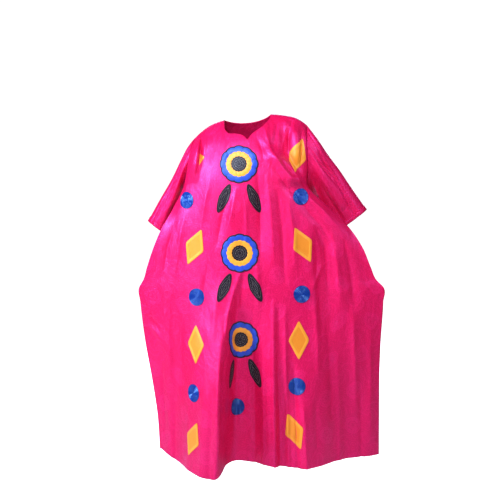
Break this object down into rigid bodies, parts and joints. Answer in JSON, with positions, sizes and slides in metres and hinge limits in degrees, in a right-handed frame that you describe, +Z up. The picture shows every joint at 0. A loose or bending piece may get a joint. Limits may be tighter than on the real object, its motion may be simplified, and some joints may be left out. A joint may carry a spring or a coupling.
{
  "type": "maxi dress",
  "caption": "Full-length loose worn dress in glossy pink damask, with wide elbow sleeves, a notched round neck and embroidered lozenges, discs, rosettes and leaves.",
  "frame": {"origin": "between the shoulders on the shoulder line, where the wearer's shoulders carry the dress", "axes": "+X towards the wearer's left hand, -Y is the front, +Z up"},
  "size_m": [0.9834, 0.4398, 1.4139],
  "materials": {
    "damask": "glossy waxed cotton damask with a tone-on-tone woven pattern",
    "yellow": "dense embroidery thread with a soft sheen",
    "blue": "dense embroidery thread with a soft sheen",
    "dark": "dense embroidery thread with light dashed stitches"
  },
  "bodies": {
    "root": {"front_panel": "damask", "back_panel": "damask", "sleeve_left": "damask", "sleeve_right": "damask", "cuff_left": "damask", "cuff_right": "damask", "lozenge_left_1": "yellow", "lozenge_left_2": "yellow", "lozenge_left_3": "yellow", "lozenge_left_4": "yellow", "lozenge_right_1": "yellow", "lozenge_right_2": "yellow", "lozenge_right_3": "yellow", "lozenge_right_4": "yellow", "disc_left_1": "blue", "disc_left_2": "blue", "disc_left_3": "blue", "disc_right_1": "blue", "disc_right_2": "blue", "disc_right_3": "blue", "disc_middle": "blue", "rosette_upper": "blue", "rosette_middle": "blue", "rosette_lower": "blue", "leaf_upper_left": "dark", "leaf_upper_right": "dark", "leaf_middle_left": "dark", "leaf_middle_right": "dark", "leaf_lower_left": "dark", "leaf_lower_right": "dark"}
  },
  "joints": []
}
